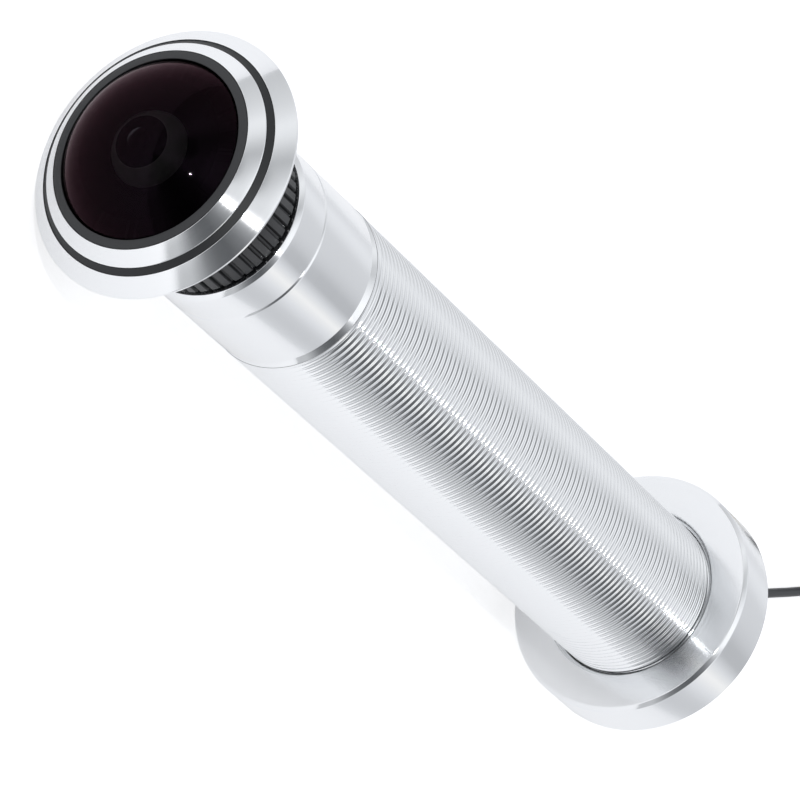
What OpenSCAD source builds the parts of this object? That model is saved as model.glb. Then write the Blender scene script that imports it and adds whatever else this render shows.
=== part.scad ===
// Peephole door camera: domed lens and bezel in front, threaded tube through the door, ring nut behind
// The tube lies along Y with the lens facing -Y, and the door lies against the bezel's rear face at y = 0

/* [Front] */
// clear diameter of the dome glass inside its rim
glass_d = 16.1; // [15.5:0.1:16.9]
// width of the dark rim that holds the dome glass
lens_rim_w = 0.75; // [0.6:0.05:1.2]
// width of the bezel seen from the front, from the lens rim to its edge
bezel_w = 3.15; // [2.8:0.05:4.5]
// straight edge of the bezel, measured along the tube
bezel_edge_h = 0.2; // [0.15:0.05:0.6]
// distance of the bezel's groove from its outer edge
groove_inset = 1.4; // [1:0.1:1.7]
// width of the bezel's groove
groove_w = 0.55; // [0.3:0.05:0.8]
// outside radius of the dome glass
dome_r = 10; // [9.5:0.1:10.8]
// radius of the hollow behind the dome glass
hollow_r = 2.7; // [2.4:0.1:3.2]

/* [Grip] */
// how far the ribbed grip lies below the tube's surface
grip_step = 0.4; // [0.3:0.05:0.6]
// wall of the ribbed grip ring
grip_wall = 0.6; // [0.5:0.05:0.8]
// length of the ribbed grip ring
grip_len = 8.4; // [6:0.1:10]
// number of ribs around the grip
rib_count = 45; // [30:1:60]
// depth of the notches between the ribs
rib_depth = 0.35; // [0.15:0.05:0.4]
// share of each step around the grip that the rib fills
rib_share = 0.7; // [0.5:0.05:0.8]

/* [Tube] */
// outside diameter of the tube, for the hole in the door
barrel_d = 16; // [15:0.1:17]
// wall of the tube
tube_wall = 1.1; // [0.9:0.05:1.3]
// length of the smooth plug in front of the seam
mount_len = 4.1; // [3:0.1:6]
// length of the smooth collar behind the seam
collar_len = 8.5; // [5:0.5:14]
// pitch of the tube's outside thread
thread_pitch = 0.75; // [0.75:0.25:1]
// depth of the tube's outside thread
thread_depth = 0.4; // [0.25:0.05:0.45]
// number of turns of the tube's outside thread
thread_turns = 100; // [60:1:110]
// chamfer along the turned edges
edge_chamfer = 0.35; // [0.2:0.05:0.45]

/* [Nut] */
// outside diameter of the ring nut
nut_d = 23.9; // [21:0.1:26]
// height of the ring nut along the tube
nut_h = 5.5; // [4:0.5:8]
// length of tube that stands out behind the nut
nut_inset = 1; // [1:0.5:4]

/* [Lens] */
// length of the threaded shank of the lens housing
shank_len = 8.5; // [7:0.5:10]
// pitch of the focusing thread
focus_pitch = 0.5; // [0.5:0.25:0.75]
// space left for focusing between the grip and the tube
focus_gap = 0.3; // [0.2:0.1:0.6]
// hole of the aperture stop
aperture_d = 1.6; // [1:0.1:2.4]

/* [Boards] */
// side of the square image sensor
sensor_side = 6.5; // [5:0.1:7]
// thickness of both circuit boards
board_t = 1; // [0.8:0.1:1.2]
// length of the posts between the boards
post_len = 6.6; // [4:0.2:9]

/* [Cable] */
// diameter of the cable
cable_d = 1; // [0.8:0.1:1.2]
// width of the plug's shell
plug_w = 6.6; // [6:0.1:8]

/* [Hidden] */
$fn = 96;

// clearances: bonded pieces, running pieces, and play along the tube
bond = 0.02;
run = 0.05;
play = 0.05;
// how far a cutting piece stands past the surface it cuts
over = 1;

// radii that follow from the sizes above
glass_r = glass_d / 2;
head_r = glass_r + lens_rim_w;
flange_r = head_r + bezel_w;
barrel_r = barrel_d / 2;
bore_r = barrel_r - tube_wall;
grip_r = barrel_r - grip_step;
neck_r = grip_r - grip_wall;
nut_r = nut_d / 2;
stand_r = max(flange_r, nut_r);

// dome glass: lap under its rim and thickness of its edge
glass_lap = 0.3;
glass_edge_h = 0.8;
glass_proud = 0.04;
glass_clear = 0.03;
glass_edge_r = glass_r + glass_lap;
cup_r = glass_edge_r + run;

// bezel along the tube: seat at 0, recess for the grip, lip, then the head of the lens housing
seat_recess = 0.15;
seat_margin = 0.65;
lip_t = 0.3;
head_floor = 0.9;
lens_rim_h = 0.55;
lens_rim_lip = 0.18;
lip_front_y = -seat_recess - lip_t;
head_rear_y = lip_front_y - play;
glass_seat_y = head_rear_y - head_floor;
cup_front_y = glass_seat_y - glass_edge_h;
bezel_front_y = cup_front_y - lens_rim_h;
seat_inner_r = grip_r + seat_margin;
bezel_inner_r = head_r + run;
slope_rise = (-bezel_front_y - bezel_edge_h) / (flange_r - bezel_inner_r);
function slope_y(r) = -bezel_edge_h - (flange_r - r) * slope_rise;

// groove in the bezel and its filling
groove_depth = 0.5;
inlay_recess = 0.1;
groove_outer_r = flange_r - groove_inset;
groove_inner_r = groove_outer_r - groove_w;

// dome glass spheres
hollow_sink = 0.3;
glass_edge_y = cup_front_y - glass_proud;
dome_y = glass_edge_y + sqrt(pow(dome_r, 2) - pow(glass_edge_r, 2));
dome_rim_y = dome_y - sqrt(pow(dome_r, 2) - pow(glass_r, 2));
hollow_y = glass_seat_y + hollow_sink;

// lens housing along the tube
grip_front_y = -seat_recess + play;
grip_rear_y = grip_front_y + grip_len;
shank_end_y = grip_rear_y + shank_len;
mount_wall = 0.85;
housing_wall = 1.6;
focus_depth = 0.25;
mount_bore_r = bore_r - mount_wall;
shank_r = mount_bore_r - run;
lens_bore_r = shank_r - housing_wall;

// optics in the lens housing
second_lens_r = 5.15;
second_bore_r = second_lens_r + run;
spacer_h = 1.2;
spacer_clear = 0.2;
second_lens_h = 2;
second_edge_y = glass_seat_y + spacer_h;
second_rear_y = second_edge_y + second_lens_h;
second_dome_a = 2.3;
second_dome_sag = 0.5;
second_hollow_a = 3;
second_hollow_sag = 1;
web_t = 1.8;
web_hole_r = 3.4;
web_rear_y = second_rear_y + web_t;
optic_r = lens_bore_r - run;
optic_ring_w = 0.65;
optic_sag = 0.6;
optic_clear = 0.1;
aperture_t = 0.3;
third_lens_h = 2.3;
rear_spacer_h = 2.5;
rear_lens_h = 3.1;
retainer_h = 2.2;
filter_t = 0.5;
third_front_y = web_rear_y + aperture_t + optic_sag;
third_rear_y = third_front_y + third_lens_h;
rear_front_y = third_rear_y + rear_spacer_h;
rear_rear_y = rear_front_y + rear_lens_h;
filter_y = rear_rear_y + retainer_h;
optic_a = optic_r - optic_ring_w;

// rubber ring under the dome glass
seal_r = 0.25;
seal_clear = 0.02;
seal_ring_r = 7.3;
seal_y = glass_seat_y + seal_r + seal_clear;

// lens mount and tube along the tube
mount_front_y = grip_rear_y + focus_gap;
tube_front_y = mount_front_y + mount_len;
shank_stop = 1.5;
sensor_room = 2.9;
shank_ledge = 0.15;
board_wall = 0.45;
chamber_r = mount_bore_r - shank_ledge;
bore_end_y = shank_end_y + shank_stop;
board_y = bore_end_y + sensor_room;
spigot_r = bore_r - bond;
board_r = spigot_r - board_wall;
board_lip = 0.2;
spigot_end_y = board_y + board_t + board_lip;
seam_chamfer = 0.3;
relief_depth = 0.5;
relief_step = 0.3;
relief_flat = 0.2;
relief_y = tube_front_y + collar_len;
thread_y = relief_y + relief_step + relief_flat + relief_depth;
thread_len = thread_turns * thread_pitch;
thread_end_y = thread_y + thread_len;
tail_len = 0.6;
tube_end_y = thread_end_y + tail_len;
crest_w = 0.15;

// ring nut
nut_y = tube_end_y - nut_inset - nut_h;
nut_bore_r = barrel_r + run;
nut_sink = 0.6;
ring_h = 1.1;
ring_wall = 0.75;
ring_r = nut_bore_r + ring_wall;
ring_y = nut_y + (nut_h - ring_h) / 2;

// boards
sensor_t = 0.9;
cover_t = 0.4;
cover_margin = 0.25;
cover_side = sensor_side - 2 * cover_margin;
post_r = 0.8;
post_ring_r = 4.8;
post_count = 3;
screw_r = 0.45;
screw_head_r = 0.85;
screw_head_h = 0.5;
screw_depth = 3;
screw_room = 0.2;
signal_y = board_y + board_t + post_len;
signal_rear_y = signal_y + board_t;
header_w = 4;
header_t = 1.6;
header_z = 2.6;
chip_side = 4;
chip_t = 0.9;
chip_z = -2.9;
socket_w = 4.4;
socket_t = 3;
socket_len = 2.5;

// rear cap and cable gland
cap_step = 0.6;
cap_r = barrel_r - cap_step;
cap_t = 1;
cap_depth = 5;
cap_wall = 1.1;
cap_hole_r = 1.6;
gland_r = 2.2;
gland_tip_r = 0.85;
gland_len = 5.5;
gland_collar = 1;
gland_flange_r = 2.6;
gland_flange_t = 0.8;
cap_end_y = tube_end_y + cap_t;
exit_y = cap_end_y + gland_len;
cable_r = cable_d / 2;
cable_hole_r = cable_r + bond;

// free cable: across, along from the gland, and share of the drop to the table
route = [
    [0, 0, 0], [0, 1.5, 0], [0, 3.5, 0], [-0.4, 6.5, 0.03], [-1.5, 9.5, 0.105], [-3.2, 12.5, 0.23],
    [-5.3, 15.5, 0.385], [-7.6, 18.5, 0.55], [-9.8, 21.3, 0.705], [-11.9, 24, 0.84], [-13.8, 26.8, 0.94],
    [-15.3, 29.5, 0.985], [-16.7, 32.3, 1], [-18, 35.2, 1], [-19.3, 38.2, 1], [-20.65, 41.2, 0.998],
    [-22, 44.2, 0.992], [-23.35, 47, 0.982], [-24.7, 49.7, 0.968]
];
cable_drop = stand_r - cable_r;

// coil: turns go in and out in layers, held up by the strap of its tie
coil_x = -36;
coil_along = 53.5;
coil_angle = 24;
coil_layers = 4;
layer_turns = 3.625;
coil_gap = 0.45;
coil_inner_r = 3.12;
coil_rings = 24;
lead_len = 1.5;
lead_in = 3;
tie_t = 0.4;
tie_w = 1.6;
tie_clear = 0.1;
tie_side_clear = 0.3;
tie_head = [2.2, 2.4, 1.4];
tie_turn = 90;
coil_pitch = cable_d + coil_gap;
coil_outer_r = coil_inner_r + layer_turns * coil_pitch;
coil_floor_z = -stand_r + tie_t + tie_clear + cable_r;
coil_turns = coil_layers * layer_turns;
coil_centre = [coil_x, exit_y + coil_along, 0];
function heading(a) = [-sin(a), cos(a), 0];
function smooth(t) = let (c = min(max(t, 0), 1)) c * c * (3 - 2 * c);
function coil_r(turn) = coil_inner_r + coil_pitch * abs(layer_turns - turn % (2 * layer_turns));
function coil_climb(turn) =
    vsum([for (k = [1:coil_layers - 1]) smooth((turn - k * layer_turns) / 0.5 + 0.5)], 0);
function vsum(v, i) = i < len(v) ? v[i] + vsum(v, i + 1) : 0;
function coil_point(turn) =
    let (a = coil_angle + 360 * turn)
    coil_centre + coil_r(turn) * [cos(a), sin(a), 0] + [0, 0, coil_floor_z + coil_pitch * coil_climb(turn)];
coil_start = coil_point(0) - lead_len * heading(coil_angle);
coil_end_angle = coil_angle + 360 * coil_turns;
coil_end = coil_point(coil_turns) + lead_len * heading(coil_end_angle);
coil_body = [for (i = [0:coil_rings * coil_turns]) coil_point(i / coil_rings)];
coil_path = concat([coil_start], coil_body, [coil_end]);
coil_least = min([
    for (i = [0:len(coil_body) - 1])
        for (j = [i + coil_rings / 2:len(coil_body) - 1])
            norm(coil_body[i] - coil_body[j])
]) - cable_d;
cable_path = concat(
    [for (p = route) [p[0], exit_y + p[1], -cable_drop * p[2]]],
    [for (k = [2:-1:0]) coil_start - k * lead_len * heading(coil_angle)]
);

// tail from the coil down to the plug: along, and share of the drop
tail_route = [
    [0, 0], [1.2, 0.01], [2.4, 0.12], [3.6, 0.32], [4.8, 0.57], [6, 0.8], [7.2, 0.95], [8.2, 1], [9.2, 1]
];
plug_h = 3.2;
plug_len = 5;
boot_len = 2.5;
boot_r = 1.5;
boot_tip_r = 1;
contact_count = 4;
contact_step = 1.4;
contact_side = 0.5;
contact_len = 3;
contact_hole = 0.9;
contact_depth = 3.5;
plug_z = -stand_r + plug_h / 2;
tail_drop = coil_end[2] - plug_z;
tail_path = [for (p = tail_route) coil_end + p[0] * heading(coil_end_angle) - [0, 0, tail_drop * p[1]]];

echo(coil_gap_to_itself = coil_least);

// turned piece: a list of [radius, along the tube]
module lathe(profile) {
    rotate([-90, 0, 0]) rotate_extrude() polygon(profile);
}

// turned ring of square section
module ring(inner, outer, from, to) {
    lathe([[inner, from], [outer, from], [outer, to], [inner, to]]);
}

// ball on the axis of the tube
module ball(r, y) {
    translate([0, y, 0]) sphere(r);
}

// round rod along the tube
module rod(r, from, to) {
    translate([0, from, 0]) rotate([-90, 0, 0]) cylinder(r = r, h = to - from);
}

// block along the tube, centred across it
module block(w, h, from, to) {
    translate([-w / 2, from, -h / 2]) cube([w, to - from, h]);
}

// radius of the ball that gives a lens face of half-width a and height sag
function face_r(a, sag) = (pow(a, 2) + pow(sag, 2)) / (2 * sag);

// lens face bulging forward from the plane y, cut to half-width a
module front_bulge(a, sag, y) {
    intersection() {
        ball(face_r(a, sag), y - sag + face_r(a, sag));
        rod(a + sag, y - 2 * sag, y);
    }
}

// lens face bulging to the rear from the plane y
module rear_bulge(a, sag, y) {
    intersection() {
        ball(face_r(a, sag), y + sag - face_r(a, sag));
        rod(a + sag, y, y + 2 * sag);
    }
}

// outline of a thread as a row of V grooves
function thread_outline(r, from, turns, pitch, depth) = [
    for (i = [0:turns - 1])
        each [
            [r, from + i * pitch + crest_w / 2],
            [r - depth, from + (i + 0.5) * pitch],
            [r, from + (i + 1) * pitch - crest_w / 2]
        ]
];

// tube swept along a path of points
function unit(v) = v / norm(v);
function tangent(path, i) = unit(path[min(i + 1, len(path) - 1)] - path[max(i - 1, 0)]);
function hoop(centre, along, r, sides) =
    let (across = unit(cross(along, [0, 0, 1])), above = cross(across, along))
    [for (k = [0:sides - 1]) centre + r * (cos(360 * k / sides) * across + sin(360 * k / sides) * above)];
module swept(path, r, sides) {
    last = len(path) - 1;
    points = [for (i = [0:last]) each hoop(path[i], tangent(path, i), r, sides)];
    walls = [
        for (i = [0:last - 1])
            for (k = [0:sides - 1])
                let (a = i * sides + k, b = i * sides + (k + 1) % sides)
                each [[a, b, b + sides], [a, b + sides, a + sides]]
    ];
    first_cap = [for (k = [1:sides - 2]) [0, k + 1, k]];
    last_cap = [for (k = [1:sides - 2]) [last * sides, last * sides + k, last * sides + k + 1]];
    polyhedron(points = points, faces = concat(first_cap, walls, last_cap));
}

module front_bezel() {
    color("#e6e9ec")
    difference() {
        lathe([
            [neck_r + run, -seat_recess], [seat_inner_r, -seat_recess], [seat_inner_r, 0], [flange_r, 0],
            [flange_r, -bezel_edge_h], [bezel_inner_r, bezel_front_y], [bezel_inner_r, lip_front_y],
            [neck_r + run, lip_front_y]
        ]);
        ring(
            groove_inner_r, groove_outer_r,
            slope_y(groove_inner_r) - over, slope_y(groove_outer_r) + groove_depth
        );
    }
}

module groove_inlay() {
    floor_y = slope_y(groove_outer_r) + groove_depth;
    inner = groove_inner_r + bond;
    outer = groove_outer_r - bond;
    color("#3a3d42")
    lathe([
        [inner, floor_y], [inner, slope_y(inner) + inlay_recess], [outer, slope_y(outer) + inlay_recess],
        [outer, floor_y]
    ]);
}

module lens_rim() {
    color("#3f4143")
    lathe([
        [cup_r, cup_front_y], [head_r, cup_front_y], [head_r, bezel_front_y],
        [glass_r, dome_rim_y - glass_clear - lens_rim_lip], [glass_r, dome_rim_y - glass_clear],
        [glass_edge_r, glass_edge_y - glass_clear], [cup_r, glass_edge_y - glass_clear]
    ]);
}

module front_lens() {
    color("#15131a")
    difference() {
        intersection() {
            ball(dome_r, dome_y);
            rod(glass_edge_r, dome_y - 2 * dome_r, glass_seat_y);
        }
        ball(hollow_r, hollow_y);
    }
}

module front_seal() {
    color("#1c1c1c")
    rotate([-90, 0, 0]) rotate_extrude() translate([seal_ring_r, seal_y]) circle(seal_r);
}

module lens_housing() {
    color("#17181a")
    difference() {
        lathe(concat(
            [
                [second_bore_r, glass_seat_y], [cup_r, glass_seat_y],
                [cup_r, cup_front_y], [head_r, cup_front_y],
                [head_r, head_rear_y], [neck_r, head_rear_y], [neck_r, grip_rear_y], [shank_r, grip_rear_y]
            ],
            thread_outline(
                shank_r, grip_rear_y + focus_pitch,
                floor(shank_len / focus_pitch) - 2, focus_pitch, focus_depth
            ),
            [
                [shank_r, shank_end_y], [lens_bore_r, shank_end_y], [lens_bore_r, web_rear_y],
                [web_hole_r, web_rear_y], [web_hole_r, second_rear_y], [second_bore_r, second_rear_y]
            ]
        ));
        ring(
            seal_ring_r - seal_r - seal_clear, seal_ring_r + seal_r + seal_clear,
            glass_seat_y - over, glass_seat_y + 2 * (seal_r + seal_clear)
        );
    }
}

module grip_ring() {
    notch_w = 2 * PI * grip_r / rib_count * (1 - rib_share);
    color("#1b1c1e")
    difference() {
        ring(neck_r + bond, grip_r, grip_front_y, grip_rear_y);
        for (i = [0:rib_count - 1]) {
            rotate([0, 360 / rib_count * i, 0])
            translate([grip_r - rib_depth, grip_front_y - over, -notch_w / 2])
            cube([rib_depth + over, grip_len + 2 * over, notch_w]);
        }
    }
}

module lens_spacer() {
    color("#26272a")
    ring(second_dome_a + spacer_clear, second_lens_r, glass_seat_y + play, second_edge_y);
}

module second_lens() {
    color("#26303a")
    difference() {
        union() {
            rod(second_lens_r, second_edge_y, second_rear_y);
            front_bulge(second_dome_a, second_dome_sag, second_edge_y);
        }
        front_bulge(second_hollow_a, second_hollow_sag, second_rear_y);
    }
}

module aperture_stop() {
    color("#0e0e10")
    lathe([
        [aperture_d / 2, web_rear_y], [optic_r, web_rear_y],
        [optic_r, third_front_y], [optic_a, third_front_y],
        [optic_a, web_rear_y + aperture_t], [aperture_d / 2, web_rear_y + aperture_t]
    ]);
}

module biconvex(front, rear) {
    rod(optic_r, front, rear);
    front_bulge(optic_a - optic_clear, optic_sag - optic_clear, front);
    rear_bulge(optic_a - optic_clear, optic_sag - optic_clear, rear);
}

module third_lens() {
    color("#2c3a42")
    biconvex(third_front_y, third_rear_y);
}

module rear_spacer() {
    color("#26272a")
    ring(optic_a, optic_r, third_rear_y, rear_front_y);
}

module rear_lens() {
    color("#2c3a42")
    biconvex(rear_front_y, rear_rear_y);
}

module rear_retainer() {
    color("#26272a")
    ring(optic_a, optic_r, rear_rear_y, filter_y);
}

module ir_filter() {
    color("#7a2f3c")
    rod(optic_r, filter_y, filter_y + filter_t);
}

module lens_mount() {
    color("#e4e7ea")
    lathe([
        [mount_bore_r, mount_front_y], [barrel_r - edge_chamfer, mount_front_y],
        [barrel_r, mount_front_y + edge_chamfer], [barrel_r, tube_front_y - seam_chamfer],
        [barrel_r - seam_chamfer, tube_front_y], [spigot_r, tube_front_y], [spigot_r, spigot_end_y],
        [board_r + bond, spigot_end_y], [board_r + bond, board_y], [chamber_r, board_y],
        [chamber_r, bore_end_y], [mount_bore_r, bore_end_y]
    ]);
}

module barrel_tube() {
    color("#e7eaed")
    lathe(concat(
        [
            [bore_r, tube_front_y], [barrel_r - edge_chamfer, tube_front_y],
            [barrel_r, tube_front_y + edge_chamfer], [barrel_r, relief_y],
            [barrel_r - relief_depth, relief_y + relief_step],
            [barrel_r - relief_depth, relief_y + relief_step + relief_flat]
        ],
        thread_outline(barrel_r, thread_y, thread_turns, thread_pitch, thread_depth),
        [[barrel_r - relief_depth, tube_end_y], [bore_r, tube_end_y]]
    ));
}

module sensor_cover_glass() {
    top = board_y - sensor_t;
    color("#8fa3ad")
    block(cover_side, cover_side, top - cover_t, top);
}

module image_sensor() {
    color("#3b3f46")
    block(sensor_side, sensor_side, board_y - sensor_t, board_y);
}

module sensor_board() {
    color("#1d5a3a")
    rod(board_r, board_y, board_y + board_t);
}

// places a copy on each board post
module at_posts() {
    for (i = [0:post_count - 1]) {
        rotate([0, 360 / post_count * i + 30, 0]) translate([post_ring_r, 0, 0]) children();
    }
}

module board_posts() {
    color("#c9a24a")
    at_posts()
    difference() {
        rod(post_r, board_y + board_t, signal_y);
        rod(screw_r + bond, signal_y - screw_depth - screw_room, signal_y + over);
    }
}

module board_header() {
    color("#1a1b1d")
    translate([0, 0, header_z]) block(header_w, header_t, board_y + board_t, signal_y);
}

module signal_board() {
    color("#1d5a3a")
    difference() {
        rod(board_r, signal_y, signal_rear_y);
        at_posts() rod(screw_r + bond, signal_y - over, signal_rear_y + over);
    }
}

module board_chips() {
    color("#202225")
    translate([0, 0, chip_z]) {
        block(chip_side, chip_side / 2, signal_y - chip_t, signal_y);
        block(chip_side, chip_side / 2, signal_rear_y, signal_rear_y + chip_t);
    }
}

module board_screws() {
    color("#b9bcc0")
    at_posts() {
        rod(screw_r, signal_y - screw_depth, signal_rear_y);
        rod(screw_head_r, signal_rear_y, signal_rear_y + screw_head_h);
    }
}

module wire_connector() {
    color("#e8e4d8")
    block(socket_w, socket_t, signal_rear_y, signal_rear_y + socket_len);
}

module inner_lead() {
    color("#1a1a1b")
    rod(cable_r, signal_rear_y + socket_len, exit_y);
}

module rear_cap() {
    color("#1c1d1f")
    lathe([
        [cap_hole_r, tube_end_y],
        [spigot_r - cap_wall, tube_end_y], [spigot_r - cap_wall, tube_end_y - cap_depth],
        [spigot_r, tube_end_y - cap_depth], [spigot_r, tube_end_y], [cap_r, tube_end_y],
        [cap_r, cap_end_y - edge_chamfer], [cap_r - edge_chamfer, cap_end_y], [cap_hole_r, cap_end_y]
    ]);
}

module cable_gland() {
    neck = cap_hole_r - bond;
    color("#161617")
    lathe([
        [cable_hole_r, tube_end_y - gland_flange_t], [gland_flange_r, tube_end_y - gland_flange_t],
        [gland_flange_r, tube_end_y], [neck, tube_end_y], [neck, cap_end_y], [gland_r, cap_end_y],
        [gland_r, cap_end_y + gland_collar], [gland_tip_r, exit_y], [cable_hole_r, exit_y]
    ]);
}

module clamp_nut() {
    rear = nut_y + nut_h;
    color("#dfe4e8")
    lathe([
        [nut_bore_r + nut_sink, nut_y], [nut_r - edge_chamfer, nut_y], [nut_r, nut_y + edge_chamfer],
        [nut_r, rear - edge_chamfer], [nut_r - edge_chamfer, rear], [nut_bore_r + nut_sink, rear],
        [nut_bore_r, rear - nut_sink],
        [nut_bore_r, ring_y + ring_h + play], [ring_r + run, ring_y + ring_h + play],
        [ring_r + run, ring_y - play], [nut_bore_r, ring_y - play], [nut_bore_r, nut_y + nut_sink]
    ]);
}

module nut_ring() {
    color("#d8d8d2")
    ring(nut_bore_r, ring_r, ring_y, ring_y + ring_h);
}

module cable() {
    color("#2a2b2d")
    swept(cable_path, cable_r, 8);
}

module cable_coil() {
    color("#2a2b2d")
    swept(coil_path, cable_r, 6);
}

module cable_tail() {
    color("#2a2b2d")
    swept(tail_path, cable_r, 8);
}

module coil_tie() {
    inner = coil_inner_r - cable_r - tie_side_clear;
    outer = coil_outer_r + cable_r + tie_side_clear;
    low = coil_floor_z - cable_r - tie_clear;
    high = coil_floor_z + (coil_layers - 1) * coil_pitch + cable_r + tie_clear;
    color("#141415")
    translate(coil_centre) rotate([0, 0, coil_angle + tie_turn]) {
        difference() {
            translate([inner - tie_t, -tie_w / 2, low - tie_t])
            cube([outer - inner + 2 * tie_t, tie_w, high - low + 2 * tie_t]);
            translate([inner, -tie_w, low]) cube([outer - inner, 2 * tie_w, high - low]);
        }
        translate([(inner + outer - tie_head[0]) / 2, -tie_head[1] / 2, high + tie_t]) cube(tie_head);
    }
}

// places the plug at the end of the tail, its length along +X
module at_plug() {
    translate(tail_path[len(tail_path) - 1]) rotate([0, 0, coil_end_angle + 90]) children();
}

// places a copy at each contact of the plug
module at_contacts() {
    for (i = [0:contact_count - 1]) {
        translate([0, (i - (contact_count - 1) / 2) * contact_step, 0]) children();
    }
}

module plug_shell() {
    front = boot_len + plug_len;
    color("#e9e6da")
    at_plug() {
        rotate([0, 90, 0]) cylinder(r1 = boot_tip_r, r2 = boot_r, h = boot_len);
        difference() {
            translate([boot_len, -plug_w / 2, -plug_h / 2]) cube([plug_len, plug_w, plug_h]);
            at_contacts()
            translate([front - contact_depth, -contact_hole / 2, -contact_hole / 2])
            cube([contact_depth + over, contact_hole, contact_hole]);
        }
    }
}

module plug_contacts() {
    front = boot_len + plug_len;
    color("#c9a24a")
    at_plug() at_contacts()
    translate([front - contact_depth, -contact_side / 2, -contact_side / 2])
    cube([contact_len, contact_side, contact_side]);
}

front_bezel();
groove_inlay();
lens_rim();
front_lens();
front_seal();
lens_housing();
grip_ring();
lens_spacer();
second_lens();
aperture_stop();
third_lens();
rear_spacer();
rear_lens();
rear_retainer();
ir_filter();
lens_mount();
barrel_tube();
sensor_cover_glass();
image_sensor();
sensor_board();
board_posts();
board_header();
signal_board();
board_chips();
board_screws();
wire_connector();
inner_lead();
rear_cap();
cable_gland();
clamp_nut();
nut_ring();
cable();
cable_coil();
cable_tail();
coil_tie();
plug_shell();
plug_contacts();
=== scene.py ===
import math

import bmesh
import bpy
from mathutils import Matrix, Vector


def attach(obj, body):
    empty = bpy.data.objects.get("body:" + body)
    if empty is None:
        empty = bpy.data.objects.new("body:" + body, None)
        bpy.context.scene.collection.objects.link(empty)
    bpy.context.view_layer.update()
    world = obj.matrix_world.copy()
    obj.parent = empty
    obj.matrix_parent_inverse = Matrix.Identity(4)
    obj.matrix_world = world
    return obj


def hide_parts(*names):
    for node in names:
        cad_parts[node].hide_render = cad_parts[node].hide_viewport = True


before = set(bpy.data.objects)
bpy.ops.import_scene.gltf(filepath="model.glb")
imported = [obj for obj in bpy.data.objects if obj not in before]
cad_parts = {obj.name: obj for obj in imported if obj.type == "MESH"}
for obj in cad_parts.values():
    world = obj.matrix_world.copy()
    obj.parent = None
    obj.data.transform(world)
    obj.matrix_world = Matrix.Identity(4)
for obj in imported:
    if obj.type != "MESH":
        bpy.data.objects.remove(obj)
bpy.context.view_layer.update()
mm = 0.001
print("frame loaded,", len(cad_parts), "solids")


# a new object in the scene
def addObject(name, data):
    made = bpy.data.objects.new(name, data)
    bpy.context.collection.objects.link(made)
    return made


# camera at the photograph's viewing angle, rolled so that up in the room points to the right
cameraSet = {
    "place": (142.45, -338.14, 246.73),  # mm
    "right": (-0.2932, 0.4402, 0.8487),
    "up": (-0.9090, -0.4034, -0.1047),
    "lens": 247.5,  # mm, as the sensor
    "sensor": 36,
    "clip": (0.01, 50),  # m
}
cameraData = bpy.data.cameras.new("camera")
cameraData.lens = cameraSet["lens"]
cameraData.sensor_width = cameraSet["sensor"]
cameraData.clip_start, cameraData.clip_end = cameraSet["clip"]
camera = addObject("camera", cameraData)
rightWay = Vector(cameraSet["right"]).normalized()
backWay = rightWay.cross(Vector(cameraSet["up"])).normalized()
turn = Matrix((rightWay, backWay.cross(rightWay), backWay)).transposed()
camera.matrix_world = Matrix.Translation(Vector(cameraSet["place"]) * mm) @ turn.to_4x4()
bpy.context.scene.camera = camera
bpy.context.scene.view_settings.view_transform = "Standard"
print("camera placed")


# sRGB hex to linear colour
def hexColour(text):
    parts = [int(text[i:i + 2], 16) / 255 for i in (1, 3, 5)]
    return tuple(p / 12.92 if p <= 0.04045 else ((p + 0.055) / 1.055) ** 2.4 for p in parts) + (1,)


# adds one node; a socket among the inputs is linked, any other value is set
def addNode(tree, kind, inputs=None, **settings):
    node = tree.nodes.new(kind)
    for key, value in settings.items():
        setattr(node, key, value)
    for key, value in (inputs or {}).items():
        if isinstance(value, bpy.types.NodeSocket):
            tree.links.new(value, node.inputs[key])
        else:
            node.inputs[key].default_value = value
    return node


# one step of arithmetic between sockets or values
def addMath(tree, operation, *values):
    return addNode(tree, "ShaderNodeMath", dict(enumerate(values)), operation=operation).outputs[0]


# colour sockets of the Mix node by number, since its sockets share their names
mixSockets = {"share": 0, "under": 6, "over": 7, "result": 2}


# one colour laid over another by a share
def mixColours(tree, share, under, over):
    inputs = {mixSockets["share"]: share, mixSockets["under"]: under, mixSockets["over"]: over}
    return addNode(tree, "ShaderNodeMix", inputs, data_type="RGBA").outputs[mixSockets["result"]]


# a new material with its principled shader joined to the output
def newMaterial(name, inputs):
    made = bpy.data.materials.new(name)
    made.use_nodes = True
    tree = made.node_tree
    tree.nodes.clear()
    shader = addNode(tree, "ShaderNodeBsdfPrincipled", inputs)
    addNode(tree, "ShaderNodeOutputMaterial", {"Surface": shader.outputs[0]})
    return made, tree, shader


# a material of one plain finish
def plainMaterial(name, inputs):
    made, _, _ = newMaterial(name, inputs)
    return made


# place on a turned piece: distance from the axis, way along it and angle round it
def turnedPlace(tree):
    place = addNode(tree, "ShaderNodeTexCoord").outputs["Object"]
    split = addNode(tree, "ShaderNodeSeparateXYZ", {0: place})
    flat = addNode(tree, "ShaderNodeCombineXYZ", {"X": split.outputs["X"], "Z": split.outputs["Z"]})
    radius = addNode(tree, "ShaderNodeVectorMath", {0: flat.outputs[0]}, operation="LENGTH").outputs["Value"]
    angle = addMath(tree, "ARCTAN2", split.outputs["X"], split.outputs["Z"])
    return radius, split.outputs["Y"], angle


# turned aluminium, polished on the lathe: bright, with fine rings that pull highlights across them
turnedLook = {
    "colour": "#f0f1f2",
    "ringSize": 0.12,  # mm; real turning marks are finer, drawn this coarse to show
    "grainTurn": 0.25,  # share of a turn, which lays the stretched highlights across the rings
    "detail": 3,
    "fineness": 0.6,
    "markRange": (0.3, 0.7),  # part of the noise over which the roughness changes
}


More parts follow.
